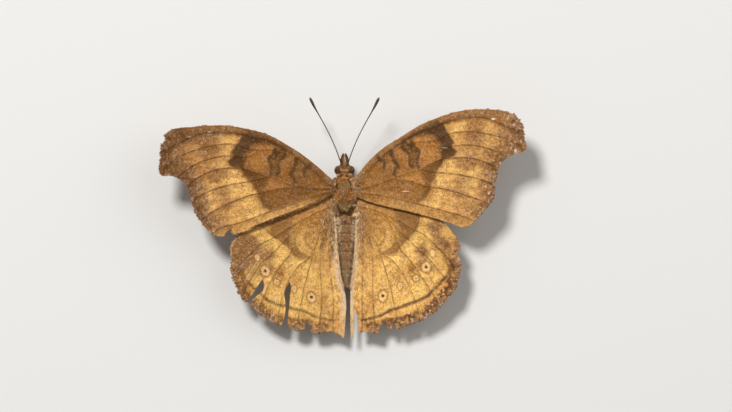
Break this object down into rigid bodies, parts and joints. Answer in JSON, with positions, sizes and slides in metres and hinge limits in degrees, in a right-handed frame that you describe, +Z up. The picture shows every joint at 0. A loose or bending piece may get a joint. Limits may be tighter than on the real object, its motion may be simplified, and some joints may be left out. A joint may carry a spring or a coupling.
{
  "type": "butterfly",
  "caption": "Life-size brown butterfly, a chocolate pansy, standing on its feet with its wings spread flat, the hindwing margins worn and torn as on the living one.",
  "frame": {"origin": "middle of the footprint, on the floor", "axes": "+Y towards the head, +X towards the butterfly's right wings, +Z up from the floor"},
  "size_m": [0.0622, 0.0408, 0.0107],
  "materials": {
    "wing": "matte scales, brown and ochre",
    "fur": "short brown hair",
    "eye": "glossy dark brown",
    "feeler": "dark brown with a satin sheen",
    "leg": "pale brown, scaly"
  },
  "bodies": {
    "root": {"head": "fur", "thorax": "fur", "abdomen": "fur", "eye_left": "eye", "eye_right": "eye", "palp_left": "fur", "palp_right": "fur", "proboscis": "feeler", "antenna_left": "feeler", "antenna_right": "feeler", "forewing_left": "wing", "forewing_right": "wing", "hindwing_left": "wing", "hindwing_right": "wing", "foreleg_left": "fur", "foreleg_right": "fur", "midleg_left": "leg", "midleg_right": "leg", "hindleg_left": "leg", "hindleg_right": "leg"}
  },
  "joints": []
}
